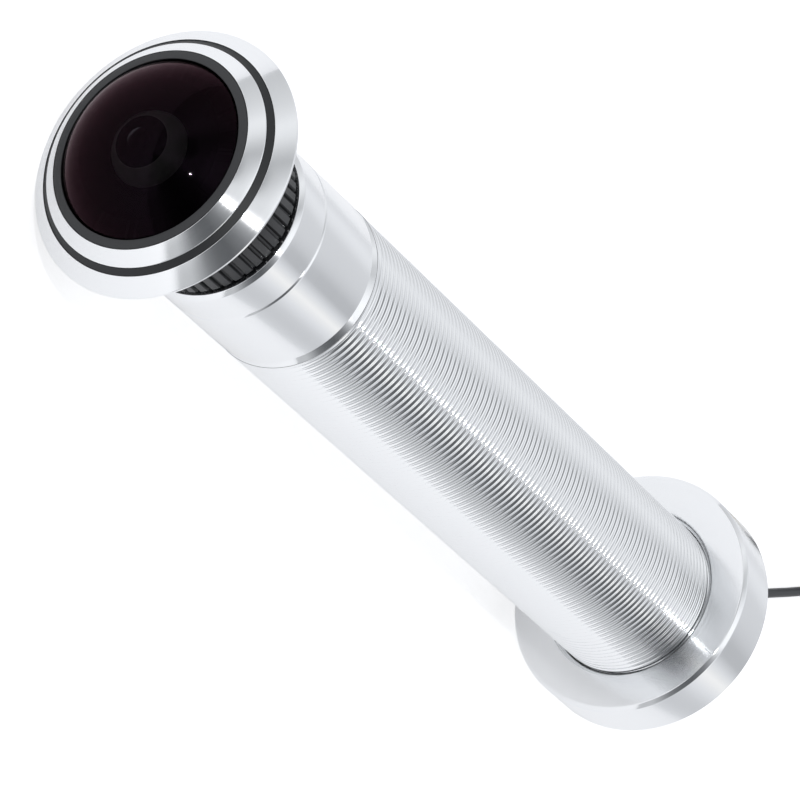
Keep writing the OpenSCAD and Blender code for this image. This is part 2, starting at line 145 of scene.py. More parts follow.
def turnedAluminium(name, stretch, roughness, depth):
    made, tree, shader = newMaterial(name, {
        "Base Color": hexColour(turnedLook["colour"]),
        "Metallic": 1,
        "Anisotropic": stretch,
        "Anisotropic Rotation": turnedLook["grainTurn"],
    })
    radius, along, angle = turnedPlace(tree)
    across = addMath(tree, "ADD", radius, along)
    ring = addMath(tree, "MULTIPLY", across, 1 / (turnedLook["ringSize"] * mm))
    place = addNode(tree, "ShaderNodeCombineXYZ", {"X": ring, "Y": angle})
    marks = addNode(tree, "ShaderNodeTexNoise", {
        "Vector": place.outputs[0],
        "Scale": 1,
        "Detail": turnedLook["detail"],
        "Roughness": turnedLook["fineness"],
    }).outputs[0]
    markLow, markHigh = turnedLook["markRange"]
    low, high = roughness
    rough = addNode(tree, "ShaderNodeMapRange", {
        "Value": marks, "From Min": markLow, "From Max": markHigh, "To Min": low, "To Max": high
    })
    tree.links.new(rough.outputs[0], shader.inputs["Roughness"])
    bump = addNode(tree, "ShaderNodeBump", {"Height": marks, "Distance": depth * mm, "Strength": 1})
    tree.links.new(bump.outputs[0], shader.inputs["Normal"])
    tangent = addNode(tree, "ShaderNodeTangent", direction_type="RADIAL", axis="Y")
    tree.links.new(tangent.outputs[0], shader.inputs["Tangent"])
    return made


aluminium = turnedAluminium("turnedAluminium", 0.95, (0.1, 0.15), 0.0006)

# the same metal as the threading tool leaves it: bright flanks with no rings of their own
threadAluminium = turnedAluminium("cutThreadAluminium", 0, (0.06, 0.07), 0)

# black anodised aluminium, satin: a dark grey skin with a soft sheen
anodised = plainMaterial("blackAnodisedAluminium", {
    "Base Color": hexColour("#2b2c2e"),
    "Roughness": 0.5,
    "IOR": 1.5,
})

# the same skin on the ribbed grip, blacker and a little glossier on its ribs
gripSkin = plainMaterial("ribbedAnodisedAluminium", {
    "Base Color": hexColour("#1d1e20"),
    "Roughness": 0.42,
    "IOR": 1.5,
})

# enamel filled into the groove and wiped level: dark, half glossy
grooveEnamel = plainMaterial("wipedEnamel", {
    "Base Color": hexColour("#15171a"),
    "Roughness": 0.5,
    "IOR": 1.5,
})

# lens glass, polished and coated: tinted near black as painted shade for the dark inside of the lens, with
# the dim purple sheen of its coating
coatedGlass = plainMaterial("coatedShadeTintedGlass", {
    # near black tint: painted shade, which darkens all that is seen through the glass
    "Base Color": hexColour("#2a282b"),
    "Roughness": 0.02,
    "IOR": 1.52,
    "Transmission Weight": 1,
    "Specular Tint": hexColour("#7a4a66"),
    "Thin Film Thickness": 105,  # nm, a quarter wave of green light
    "Thin Film IOR": 1.38,
    "Coat Weight": 0.05,
    "Coat Roughness": 0.05,
})

# fine ground glass, left on the outer part of the hollow: a dim grey ring behind the dome
groundGlass = plainMaterial("fineGroundGlass", {
    "Base Color": hexColour("#b0b6a8"),
    "Roughness": 0.9,
    "IOR": 1.52,
})

# lens ink brushed on the edge, the seat and a ring of the hollow: dead black from the front
lensInk = plainMaterial("brushedLensInk", {
    "Base Color": hexColour("#0c0b0d"),
    "Roughness": 0.8,
    "IOR": 1.5,
    "Specular IOR Level": 0.1,
})

# inner lens glass, polished and coated: clear, with amber reflections
innerGlass = plainMaterial("innerLensGlass", {
    "Base Color": hexColour("#d8e2da"),
    "Roughness": 0,
    "IOR": 1.6,
    "Transmission Weight": 1,
    "Specular Tint": hexColour("#b0682c"),
})

# red filter glass, polished: a dark red disc
filterGlass = plainMaterial("filterGlass", {
    "Base Color": hexColour("#5a1c26"),
    "Roughness": 0.02,
    "IOR": 1.52,
    "Transmission Weight": 0.6,
})

# moulded black polyamide: deep black, matt from fine spark-eroded moulds
blackPlastic = plainMaterial("mouldedPolyamide", {
    "Base Color": hexColour("#161617"),
    "Roughness": 0.6,
    "IOR": 1.53,
})

# extruded soft PVC cable sheath: charcoal with a dull sheen
sheath = plainMaterial("extrudedPvcSheath", {
    "Base Color": hexColour("#2b2d30"),
    "Roughness": 0.45,
    "IOR": 1.53,
})

# moulded rubber of the seal and the bend relief: dull black
rubber = plainMaterial("mouldedRubber", {
    "Base Color": hexColour("#1b1b1c"),
    "Roughness": 0.7,
    "IOR": 1.52,
})

# moulded natural nylon: off-white, satin
nylon = plainMaterial("mouldedNylon", {
    "Base Color": hexColour("#dcdad2"),
    "Roughness": 0.45,
    "IOR": 1.53,
    "Subsurface Weight": 0.1,
    "Subsurface Radius": (0.001, 0.001, 0.0008),
    "Subsurface Scale": 0.5,
})

# moulded cream polyester of connectors: smooth and half glossy
creamPlastic = plainMaterial("mouldedPolyester", {
    "Base Color": hexColour("#e3dfd0"),
    "Roughness": 0.4,
    "IOR": 1.56,
})

# solder-masked glass laminate: glossy green lacquer
laminate = plainMaterial("lacqueredLaminate", {
    "Base Color": hexColour("#14532f"),
    "Roughness": 0.25,
    "IOR": 1.55,
})

# brass, drawn and tumbled: warm yellow with a soft shine
brass = plainMaterial("tumbledBrass", {
    "Base Color": hexColour("#d9b45c"),
    "Metallic": 1,
    "Roughness": 0.3,
})

# zinc plated steel of small screws: pale grey with a soft shine
steel = plainMaterial("platedSteel", {
    "Base Color": hexColour("#b9bcc0"),
    "Metallic": 1,
    "Roughness": 0.3,
})

# fired ceramic of the sensor under its cover glass: smooth and dark
sensorBlack = plainMaterial("sensorCeramic", {
    "Base Color": hexColour("#22262c"),
    "Roughness": 0.2,
    "IOR": 1.7,
})
print("materials made")


# rises smoothly from 0 to 1
def smoothStep(t):
    t = min(max(t, 0), 1)
    return t * t * (3 - 2 * t)


# rounds the corners of a closed outline by a small radius
def roundCorners(outline, radius, steps=4):
    most = 0.45  # share of a side that one corner may take
    rounded = []
    count = len(outline)
    for i, corner in enumerate(outline):
        here = Vector(corner)
        before = Vector(outline[i - 1]) - here
        after = Vector(outline[(i + 1) % count]) - here
        back = before.normalized() * min(radius, before.length * most)
        ahead = after.normalized() * min(radius, after.length * most)
        for k in range(steps + 1):
            t = k / steps
            rounded.append(here + back * (1 - t) ** 2 + ahead * t ** 2)
    return rounded


# finishes a mesh: faces outward, smooth shading with sharp edges kept, material and body,
# and hides the solids that it stands for
def finishPiece(mesh, name, material, body, nodes, sharp=35):
    joinDistance = 1e-7  # m
    shape = bmesh.new()
    shape.from_mesh(mesh)
    bmesh.ops.remove_doubles(shape, verts=shape.verts, dist=joinDistance)
    bmesh.ops.recalc_face_normals(shape, faces=shape.faces)
    shape.to_mesh(mesh)
    shape.free()
    mesh.shade_smooth()
    mesh.set_sharp_from_angle(angle=math.radians(sharp))
    mesh.materials.append(material)
    piece = addObject(name, mesh)
    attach(piece, body)
    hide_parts(*nodes)
    return piece


# point in metres at a radius and a way along in mm, and at an angle round the tube's axis
def turnedPoint(radius, along, angle):
    return radius * math.sin(angle) * mm, along * mm, radius * math.cos(angle) * mm


# closed outlines of (radius, along) in mm, spread evenly round the tube's axis and joined
def columnMesh(name, columns):
    points = []
    faces = []
    count = len(columns[0])
    for s, column in enumerate(columns):
        angle = 2 * math.pi * s / len(columns)
        points += [turnedPoint(radius, along, angle) for radius, along in column]
        t = (s + 1) % len(columns)
        for i in range(count):
            j = (i + 1) % count
            faces.append((s * count + i, s * count + j, t * count + j, t * count + i))
    mesh = bpy.data.meshes.new(name)
    mesh.from_pydata(points, [], faces)
    return mesh


# one closed outline turned round the tube's axis
def turnedMesh(name, outline, segments=256):
    return columnMesh(name, [outline] * segments)


# points on an arc of a ball's outline, from one radius to another
def ballArc(ballRadius, centre, fromRadius, toRadius, steps):
    arc = []
    start = math.asin(fromRadius / ballRadius)
    end = math.asin(toRadius / ballRadius)
    for k in range(steps + 1):
        a = start + (end - start) * k / steps
        arc.append((ballRadius * math.sin(a), centre - ballRadius * math.cos(a)))
    return arc


# bezel: flat seat, thin straight edge and a slope up to the lens rim, with a groove in the slope
bezelSet = {
    "flange": 11.95,
    "edge": 0.2,
    "front": -2.75,
    "opening": 8.85,
    "lip": (7.05, -0.45),
    "recess": (8.25, -0.15),
    "groove": (10.0, 10.55, 0.5),
    "corner": 0.06,
    "segments": 384,
}
slopeRise = (-bezelSet["front"] - bezelSet["edge"]) / (bezelSet["flange"] - bezelSet["opening"])


def slopeAt(radius):
    return -bezelSet["edge"] - (bezelSet["flange"] - radius) * slopeRise


lipRadius, lipFront = bezelSet["lip"]
recessRadius, recessFloor = bezelSet["recess"]
grooveIn, grooveOut, grooveDepth = bezelSet["groove"]
grooveFloor = slopeAt(grooveOut) + grooveDepth
bezelOutline = roundCorners([
    (lipRadius, recessFloor), (recessRadius, recessFloor), (recessRadius, 0),
    (bezelSet["flange"], 0), (bezelSet["flange"], -bezelSet["edge"]),
    (grooveOut, slopeAt(grooveOut)), (grooveOut, grooveFloor), (grooveIn, grooveFloor),
    (grooveIn, slopeAt(grooveIn)), (bezelSet["opening"], bezelSet["front"]),
    (bezelSet["opening"], lipFront), (lipRadius, lipFront),
], bezelSet["corner"])
bezelMesh = turnedMesh("bezel", bezelOutline, bezelSet["segments"])
finishPiece(bezelMesh, "bezel", aluminium, "bezel", ["front_bezel"])

# dark filling of the groove, wiped a little below the slope
inlaySet = {"gap": 0.02, "below": 0.1}
inlayIn = grooveIn + inlaySet["gap"]
inlayOut = grooveOut - inlaySet["gap"]
inlayOutline = [
    (inlayIn, grooveFloor), (inlayIn, slopeAt(inlayIn) + inlaySet["below"]),
    (inlayOut, slopeAt(inlayOut) + inlaySet["below"]), (inlayOut, grooveFloor),
]
inlayMesh = turnedMesh("inlay", inlayOutline, bezelSet["segments"])
finishPiece(inlayMesh, "inlay", grooveEnamel, "bezel", ["groove_inlay"])
print("bezel made")

# dome glass with its hollow
domeSet = {
    "ball": 10,
    "edge": 8.35,
    "edgeFront": -2.24,
    "seat": -1.4,
    "hollow": (2.7, -1.1),
    "ground": 1.95,  # radius from which the hollow is left ground
    "clear": 0.85,  # radius of its clear middle, with ink between the two
    "hollowSlack": 0.02,  # a face this close to the hollow's ball belongs to it
    "pole": 0.0001,  # radius at which the arcs meet the axis
    "arcSteps": (96, 64),
    "segments": 384,
}
domeCentre = domeSet["edgeFront"] + math.sqrt(domeSet["ball"] ** 2 - domeSet["edge"] ** 2)
hollowRadius, hollowCentre = domeSet["hollow"]
hollowMouth = math.sqrt(hollowRadius ** 2 - (domeSet["seat"] - hollowCentre) ** 2)
domeSteps, hollowSteps = domeSet["arcSteps"]
domeOutline = ballArc(domeSet["ball"], domeCentre, domeSet["pole"], domeSet["edge"], domeSteps)
domeOutline += [(domeSet["edge"], domeSet["seat"]), (hollowMouth, domeSet["seat"])]
domeOutline += ballArc(hollowRadius, hollowCentre, hollowMouth, domeSet["pole"], hollowSteps)[1:]
domeMesh = turnedMesh("dome", domeOutline, domeSet["segments"])
dome = finishPiece(domeMesh, "dome", coatedGlass, "lens", ["front_lens"])
dome.data.materials.append(lensInk)
dome.data.materials.append(groundGlass)
inkIndex = 1
groundIndex = 2
for face in dome.data.polygons:
    place = face.center / mm
    faceRadius = math.hypot(place.x, place.z)
    fromHollow = (place - Vector((0, hollowCentre, 0))).length - hollowRadius
    inHollow = abs(fromHollow) < domeSet["hollowSlack"]
    onSeat = place.y > domeSet["edgeFront"] and faceRadius > hollowMouth
    if inHollow and faceRadius > domeSet["ground"]:
        face.material_index = groundIndex
    elif onSeat or inHollow and faceRadius > domeSet["clear"]:
        face.material_index = inkIndex

# dark ring that holds the dome down
rimSet = {
    "inner": 8.05,
    "outer": 8.8,
    "cup": 8.4,
    "rear": -2.2,
    "front": -2.75,
    "lip": 0.18,
    "clear": 0.03,
    "corner": 0.07,
    "segments": 384,
}
rimGlass = domeCentre - math.sqrt(domeSet["ball"] ** 2 - rimSet["inner"] ** 2) - rimSet["clear"]
rimSeat = domeSet["edgeFront"] - rimSet["clear"]
rimOutline = roundCorners([
    (rimSet["cup"], rimSet["rear"]), (rimSet["outer"], rimSet["rear"]), (rimSet["outer"], rimSet["front"]),
    (rimSet["inner"], rimGlass - rimSet["lip"]), (rimSet["inner"], rimGlass),
    (domeSet["edge"], rimSeat), (rimSet["cup"], rimSeat),
], rimSet["corner"])
rimMesh = turnedMesh("lensRim", rimOutline, rimSet["segments"])
finishPiece(rimMesh, "lensRim", anodised, "lens", ["lens_rim"])
print("lens made")

# ribbed grip: rounded pads with notches between them and bevelled ends
gripSet = {
    "inner": 7.02,
    "outer": 7.6,
    "from": -0.1,
    "to": 8.3,
    "ribs": 45,
    "ribShare": 0.7,
    "notch": 0.35,
    "soft": 0.12,  # share of a rib's step over which its edge rounds off
    "bevel": 0.25,
    "bevelStep": (0.3, 0.45),  # shares of the bevel at its middle point, along the axis and in depth
    "samples": 18,
}


# height of the pad at a share of one rib's step, 1 on the pad and 0 in the notch
def ribHeight(share):
    fromEdge = (gripSet["ribShare"] / 2 - abs(share - 0.5)) / gripSet["soft"] + 0.5
    return smoothStep(fromEdge)


def gripMesh():
    bevel = gripSet["bevel"]
    stepAlong, stepDepth = [bevel * share for share in gripSet["bevelStep"]]
    rows = [
        (gripSet["from"], bevel), (gripSet["from"] + stepAlong, stepDepth), (gripSet["from"] + bevel, 0),
        (gripSet["to"] - bevel, 0), (gripSet["to"] - stepAlong, stepDepth), (gripSet["to"], bevel),
    ]
    columns = []
    for s in range(gripSet["ribs"] * gripSet["samples"]):
        low = gripSet["notch"] * (1 - ribHeight(s % gripSet["samples"] / gripSet["samples"]))
        column = [(gripSet["inner"], gripSet["from"])]
        column += [(gripSet["outer"] - max(low, cut), along) for along, cut in rows]
        columns.append(column + [(gripSet["inner"], gripSet["to"])])
    return columnMesh("grip", columns)


finishPiece(gripMesh(), "grip", gripSkin, "lens", ["grip_ring"])
print("grip made")

# plug that holds the lens, with the seam to the tube
plugSet = {
    "radius": 8,
    "bore": 6.05,
    "front": 8.6,
    "chamfer": 0.35,
    "rear": 12.7,
    "seam": 0.15,
    "spigot": (6.88, 22.4),
    "chamber": (5.9, 18.3, 21.2),
    "board": 6.45,
    "corner": 0.05,
}
spigotRadius, spigotEnd = plugSet["spigot"]
chamberRadius, chamberFrom, chamberTo = plugSet["chamber"]
plugOutline = roundCorners([
    (plugSet["bore"], plugSet["front"]), (plugSet["radius"] - plugSet["chamfer"], plugSet["front"]),
    (plugSet["radius"], plugSet["front"] + plugSet["chamfer"]),
    (plugSet["radius"], plugSet["rear"] - plugSet["seam"]),
    (plugSet["radius"] - plugSet["seam"], plugSet["rear"]),
    (spigotRadius, plugSet["rear"]), (spigotRadius, spigotEnd),
    (plugSet["board"], spigotEnd), (plugSet["board"], chamberTo), (chamberRadius, chamberTo),
    (chamberRadius, chamberFrom), (plugSet["bore"], chamberFrom),
], plugSet["corner"])
plugMesh = turnedMesh("lensPlug", plugOutline)
finishPiece(plugMesh, "lensPlug", aluminium, "barrel", ["lens_mount"])

# tube: smooth collar, relief groove, then a long right-hand thread
tubeSet = {
    "radius": 8,
    "bore": 6.9,
    "front": 12.7,
    "chamfer": 0.15,
    "collarEnd": 21.2,
    "relief": (0.5, 0.3, 0.2),
    "pitch": 0.75,
    "turns": 100,
    "depth": 0.21,  # the finished thread is blunt and shallower than its solid
    "crest": 0.27,  # share of the pitch that is flat on the crests
    "flank": (64, 52),  # degrees from the axis at a flank's foot and top, so that it is a little convex
    "edge": 0.05,
    "edgeSteps": 2,
    "support": (0.1, 0.9),  # shares of a flat stretch at which points keep its shading flat
    "sharp": 80,
    "tail": 0.6,
    "segments": 240,
    "boreSkin": 0.01,
    "corner": 0.06,
}
reliefDepth, reliefStep, reliefFlat = tubeSet["relief"]
threadFrom = tubeSet["collarEnd"] + reliefStep + reliefFlat + reliefDepth
threadTo = threadFrom + tubeSet["turns"] * tubeSet["pitch"]
tubeEnd = threadTo + tubeSet["tail"]
reliefRadius = tubeSet["radius"] - reliefDepth


# one pitch of the thread as (radius, along): flat crest, flanks and flat root with rounded corners
def threadProfile():
    pitch = tubeSet["pitch"]
    crest = tubeSet["crest"] * pitch
    top = tubeSet["radius"]
    middle = top - tubeSet["depth"] / 2
    bottom = top - tubeSet["depth"]
    foot, upper = [tubeSet["depth"] / 2 / math.tan(math.radians(angle)) for angle in tubeSet["flank"]]
    corners = [
        (bottom, -upper - foot), (middle, -upper), (top, 0), (top, crest), (middle, crest + upper),
        (bottom, crest + upper + foot), (bottom, pitch - upper - foot), (middle, pitch - upper), (top, pitch),
    ]
    steps = tubeSet["edgeSteps"]
    rounded = roundCorners(corners, tubeSet["edge"], steps)
    profile = []
    for here, ahead in zip(rounded, rounded[1:]):
        profile.append(here)
        if (ahead - here).length > tubeSet["edge"]:
            profile += [here.lerp(ahead, share) for share in tubeSet["support"]]
    start = rounded[2 * (steps + 1)]
    end = rounded[-steps - 1]
    return profile[profile.index(start):profile.index(end)]


# rows of points that climb one pitch in each turn, so that the grooves run as a true helix
def threadMesh():
    points = []
    faces = []
    profile = threadProfile()
    segments = tubeSet["segments"]
    rows = len(profile) * (tubeSet["turns"] + 1)
    for s in range(segments + 1):
        climb = s / segments
        a = 2 * math.pi * climb
        for row in range(rows):
            cut, step = profile[row % len(profile)]
            along = threadFrom + (row // len(profile) + climb - 1) * tubeSet["pitch"] + step
            along = min(max(along, threadFrom), threadTo)
            fade = min(along - threadFrom, threadTo - along, tubeSet["pitch"]) / tubeSet["pitch"]
            radius = tubeSet["radius"] - (tubeSet["radius"] - cut) * fade
            points.append(turnedPoint(radius, along, a))
    for s in range(segments):
        for row in range(rows - 1):
            i = s * rows + row
            faces.append((i, i + 1, i + rows + 1, i + rows))
    mesh = bpy.data.meshes.new("tubeThread")
    mesh.from_pydata(points, [], faces)
    return mesh


# the tube's collar, its rear end and the skin of its bore, with the thread left to its own mesh
def tubeMesh():
    front = roundCorners([
        (tubeSet["bore"], tubeSet["front"]), (tubeSet["radius"] - tubeSet["chamfer"], tubeSet["front"]),
        (tubeSet["radius"], tubeSet["front"] + tubeSet["chamfer"]), (tubeSet["radius"], tubeSet["collarEnd"]),
        (reliefRadius, tubeSet["collarEnd"] + reliefStep), (reliefRadius, threadFrom - reliefDepth),
        (tubeSet["radius"], threadFrom), (tubeSet["bore"], threadFrom),
    ], tubeSet["corner"])
    rear = [
        (tubeSet["bore"], threadTo), (tubeSet["radius"], threadTo),
        (reliefRadius, tubeEnd), (tubeSet["bore"], tubeEnd),
    ]
    skinRadius = tubeSet["bore"] + tubeSet["boreSkin"]
    bore = [
        (tubeSet["bore"], tubeSet["front"]), (skinRadius, tubeSet["front"]),
        (skinRadius, tubeEnd), (tubeSet["bore"], tubeEnd),
    ]
    shape = bmesh.new()
    for outline in (front, rear, bore):
        shape.from_mesh(turnedMesh("tubeEnds", outline))
    mesh = bpy.data.meshes.new("tube")
    shape.to_mesh(mesh)
    shape.free()
    return mesh


finishPiece(tubeMesh(), "tube", aluminium, "barrel", ["barrel_tube"])
finishPiece(
    threadMesh(), "tubeThread", threadAluminium, "barrel", ["barrel_tube"],
    tubeSet["sharp"],
)
print("tube made")

# ring nut with bevelled edges and a countersunk bore
nutSet = {
    "radius": 11.95,
    "bore": 8.05,
    "from": 91.3,
    "to": 96.8,
    "chamfer": 0.35,
    "sink": 0.4,
    "ring": (8.85, 93.45, 94.65),
    "corner": 0.08,
    "segments": 384,
}
ringRadius, ringFrom, ringTo = nutSet["ring"]
nutOutline = roundCorners([
    (nutSet["bore"] + nutSet["sink"], nutSet["from"]), (nutSet["radius"] - nutSet["chamfer"], nutSet["from"]),
    (nutSet["radius"], nutSet["from"] + nutSet["chamfer"]),
    (nutSet["radius"], nutSet["to"] - nutSet["chamfer"]),
    (nutSet["radius"] - nutSet["chamfer"], nutSet["to"]), (nutSet["bore"] + nutSet["sink"], nutSet["to"]),
    (nutSet["bore"], nutSet["to"] - nutSet["sink"]), (nutSet["bore"], ringTo), (ringRadius, ringTo),
    (ringRadius, ringFrom), (nutSet["bore"], ringFrom), (nutSet["bore"], nutSet["from"] + nutSet["sink"]),
], nutSet["corner"])
nutMesh = turnedMesh("ringNut", nutOutline, nutSet["segments"])
finishPiece(nutMesh, "ringNut", aluminium, "nut", ["clamp_nut"])
print("nut made")

# rear cap with a hole for the cable
capSet = {
    "radius": 7.4,
    "spigot": (6.88, 5.78, 92.8),
    "from": 97.8,
    "to": 98.8,
    "hole": 1.6,
    "corner": 0.2,
    "segments": 128,
}
spigotOut, spigotIn, spigotFrom = capSet["spigot"]
capOutline = roundCorners([
    (capSet["hole"], capSet["from"]), (spigotIn, capSet["from"]),
    (spigotIn, spigotFrom), (spigotOut, spigotFrom),
    (spigotOut, capSet["from"]), (capSet["radius"], capSet["from"]), (capSet["radius"], capSet["to"]),
    (capSet["hole"], capSet["to"]),
], capSet["corner"])
capMesh = turnedMesh("rearCap", capOutline, capSet["segments"])
finishPiece(capMesh, "rearCap", blackPlastic, "barrel", ["rear_cap"])

# bend relief of the cable
reliefSet = {
    "flange": (2.6, 97),
    "neck": 1.58,
    "collar": (2.2, 1),
    "tip": (0.85, 104.3),
    "hole": 0.52,
    "rings": 4,
    "ringDepth": 0.18,
    "tipGap": 0.5,  # steps left plain before the tip
    "corner": 0.15,
    "segments": 96,
}


# outline of the bend relief, with shallow grooves along its taper
def reliefOutline():
    flangeRadius, flangeFrom = reliefSet["flange"]
    collarRadius, collarLength = reliefSet["collar"]
    tipRadius, tipEnd = reliefSet["tip"]
    taperFrom = capSet["to"] + collarLength
    outline = [
        (reliefSet["hole"], flangeFrom), (flangeRadius, flangeFrom), (flangeRadius, capSet["from"]),
        (reliefSet["neck"], capSet["from"]), (reliefSet["neck"], capSet["to"]), (collarRadius, capSet["to"]),
    ]
    steps = reliefSet["rings"] * 2
    for k in range(steps + 1):
        share = k / (steps + reliefSet["tipGap"])
        cut = reliefSet["ringDepth"] if k % 2 else 0
        radius = collarRadius + (tipRadius - collarRadius) * share - cut
        outline.append((radius, taperFrom + (tipEnd - taperFrom) * share))
    return outline + [(tipRadius, tipEnd), (reliefSet["hole"], tipEnd)]


reliefRounded = roundCorners(reliefOutline(), reliefSet["corner"])
reliefMesh = turnedMesh("bendRelief", reliefRounded, reliefSet["segments"])
finishPiece(reliefMesh, "bendRelief", rubber, "barrel", ["cable_gland"])
print("rear cap made")

# cable: the route from the bend relief to the table, then a coil and the tail to the plug, in metres
cableSet = {
    "diameter": 0.001,
    "exit": 0.1043,
    "drop": 0.01143,
    "route": [  # sideways, along, share of the drop
        (0, 0, 0), (0, 0.0015, 0), (0, 0.0035, 0), (-0.0004, 0.0065, 0.03), (-0.0015, 0.0095, 0.105),
        (-0.0032, 0.0125, 0.23), (-0.0053, 0.0155, 0.385), (-0.0076, 0.0185, 0.55), (-0.0098, 0.0213, 0.705),
        (-0.0119, 0.024, 0.84), (-0.0138, 0.0268, 0.94), (-0.0153, 0.0295, 0.985), (-0.0167, 0.0323, 1),
        (-0.018, 0.0352, 1), (-0.0193, 0.0382, 1), (-0.02065, 0.0412, 0.998), (-0.022, 0.0442, 0.992),
        (-0.02335, 0.047, 0.982), (-0.0247, 0.0497, 0.968),
    ],
    "coil": (-0.036, 0.0535),
    "coilAngle": 24,
    "coilInner": 0.00312,
    "coilPitch": 0.00143,
    "layers": 4,
    "layerTurns": 3.625,
    "climbTurns": 0.5,  # turns over which the cable climbs to the next layer
    "floor": -0.01095,
    "lead": 0.0015,
    "tail": [  # along, share of the drop
        (0, 0), (0.0012, 0.01), (0.0024, 0.12), (0.0036, 0.32), (0.0048, 0.57), (0.006, 0.8), (0.0072, 0.95),
        (0.0082, 1), (0.0092, 1),
    ],
    "tailDrop": 0.00375,
    "steps": 48,  # points in one turn of the coil
    "routeSteps": 6,  # points between two placed ones
    "tailSteps": 4,
    "roundSteps": 4,
}


# level way in which a cable runs at an angle round its coil
def heading(degrees):
    return Vector((-math.sin(math.radians(degrees)), math.cos(math.radians(degrees)), 0))


# point of the coil after a number of turns: in and out through its layers
def coilPoint(turns):
    layer = cableSet["layerTurns"]
    a = math.radians(cableSet["coilAngle"] + 360 * turns)
    radius = cableSet["coilInner"] + cableSet["coilPitch"] * abs(layer - turns % (2 * layer))
    layerEnds = [k * layer for k in range(1, cableSet["layers"])]
    climb = sum(smoothStep((turns - end) / cableSet["climbTurns"] + 0.5) for end in layerEnds)
    coilX, coilAlong = cableSet["coil"]
    return Vector((
        coilX + radius * math.cos(a),
        cableSet["exit"] + coilAlong + radius * math.sin(a),
        cableSet["floor"] + cableSet["coilPitch"] * climb,
    ))


# smooth line through given points
def smoothLine(points, steps):
    line = []
    for i in range(len(points) - 1):
        a = points[max(i - 1, 0)]
        b = points[i]
        c = points[i + 1]
        d = points[min(i + 2, len(points) - 1)]
        for k in range(steps):
            t = k / steps
            pull = 2 * a - 5 * b + 4 * c - d
            bend = 3 * b - a - 3 * c + d
            line.append(0.5 * (2 * b + (c - a) * t + pull * t ** 2 + bend * t ** 3))
    return line + [points[-1]]


coilTurns = cableSet["layers"] * cableSet["layerTurns"]
endAngle = cableSet["coilAngle"] + 360 * coilTurns
coilStart = coilPoint(0) - cableSet["lead"] * heading(cableSet["coilAngle"])
coilEnd = coilPoint(coilTurns) + cableSet["lead"] * heading(endAngle)
routePoints = [
    Vector((x, cableSet["exit"] + along, -cableSet["drop"] * share))
    for x, along, share in cableSet["route"]
]
routePoints += [coilStart - k * cableSet["lead"] * heading(cableSet["coilAngle"]) for k in (2, 1, 0)]
tailPoints = [
    coilEnd + along * heading(endAngle) - Vector((0, 0, cableSet["tailDrop"] * share))
    for along, share in cableSet["tail"]
]
coilSteps = int(coilTurns * cableSet["steps"])
cablePoints = smoothLine(routePoints, cableSet["routeSteps"])
cablePoints += [coilPoint(i / cableSet["steps"]) for i in range(coilSteps + 1)]
cablePoints += smoothLine(tailPoints, cableSet["tailSteps"])

cableCurve = bpy.data.curves.new("cable", "CURVE")
cableCurve.dimensions = "3D"
cableCurve.bevel_depth = cableSet["diameter"] / 2
cableCurve.bevel_resolution = cableSet["roundSteps"]
cableCurve.use_fill_caps = True
spline = cableCurve.splines.new("POLY")
spline.points.add(len(cablePoints) - 1)
for point, place in zip(spline.points, cablePoints):
    point.co = (*place, 1)
spline.use_smooth = True
cableCurve.materials.append(sheath)
cableLine = addObject("cableLine", cableCurve)
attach(cableLine, "barrel")
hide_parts("cable", "cable_coil", "cable_tail")

# the other solids keep their own shape and take a finish
finishes = {
    "front_seal": rubber,
    "lens_housing": gripSkin,
    "lens_spacer": blackPlastic,
    "second_lens": innerGlass,
    "aperture_stop": blackPlastic,
    "third_lens": innerGlass,
    "rear_spacer": blackPlastic,
    "rear_lens": innerGlass,
    "rear_retainer": blackPlastic,
    "ir_filter": filterGlass,
    "sensor_cover_glass": innerGlass,
    "image_sensor": sensorBlack,
    "sensor_board": laminate,
    "board_posts": brass,
    "board_header": blackPlastic,
    "signal_board": laminate,
    "board_chips": blackPlastic,
    "board_screws": steel,
    "wire_connector": creamPlastic,
    "inner_lead": sheath,
    "nut_ring": nylon,
    "coil_tie": blackPlastic,
    "plug_shell": creamPlastic,
    "plug_contacts": brass,
}
for name, finish in finishes.items():
    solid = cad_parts[name]
    solid.data.materials.clear()
    solid.data.materials.append(finish)

# small moulded edges on the tie and the plug
edgeSet = {"coil_tie": 0.08, "plug_shell": 0.2}
edgeSteps = 3
for name, width in edgeSet.items():
    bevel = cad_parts[name].modifiers.new("edge", "BEVEL")
    bevel.width = width * mm
    bevel.segments = edgeSteps
    bevel.limit_method = "ANGLE"
    bevel.harden_normals = True
print("solids finished")

# table under the object: white paper that keeps the soft shadow
floorSet = {
    "height": -11.95,  # mm
    "half": 10,  # m
    "colour": "#f0f0f1",
    "lift": 0.26,  # white added to the paper as seen by the camera, in metal and through glass
    "cameraLift": 0.29,  # white added for the camera alone, so that the background is white
}
floorMaterial, floorTree, floorShader = newMaterial("whitePaper", {
    "Base Color": hexColour(floorSet["colour"]),
    "Roughness": 1,
    "Specular IOR Level": 0,
    "Emission Color": hexColour("#ffffff"),
})
seen = addNode(floorTree, "ShaderNodeLightPath").outputs
straight = addMath(floorTree, "MAXIMUM", seen["Is Camera Ray"], seen["Is Glossy Ray"])
shown = addMath(floorTree, "MAXIMUM", straight, seen["Is Transmission Ray"])
shownLift = addMath(floorTree, "MULTIPLY", shown, floorSet["lift"])
lift = addMath(floorTree, "MULTIPLY_ADD", seen["Is Camera Ray"], floorSet["cameraLift"], shownLift)
floorTree.links.new(lift, floorShader.inputs["Emission Strength"])
half = floorSet["half"]
floorCorners = [(-half, -half, 0), (half, -half, 0), (half, half, 0), (-half, half, 0)]
floorMesh = bpy.data.meshes.new("table")
floorMesh.from_pydata(floorCorners, [], [(0, 1, 2, 3)])
floorMesh.materials.append(floorMaterial)
table = addObject("table", floorMesh)
table.location.z = floorSet["height"] * mm

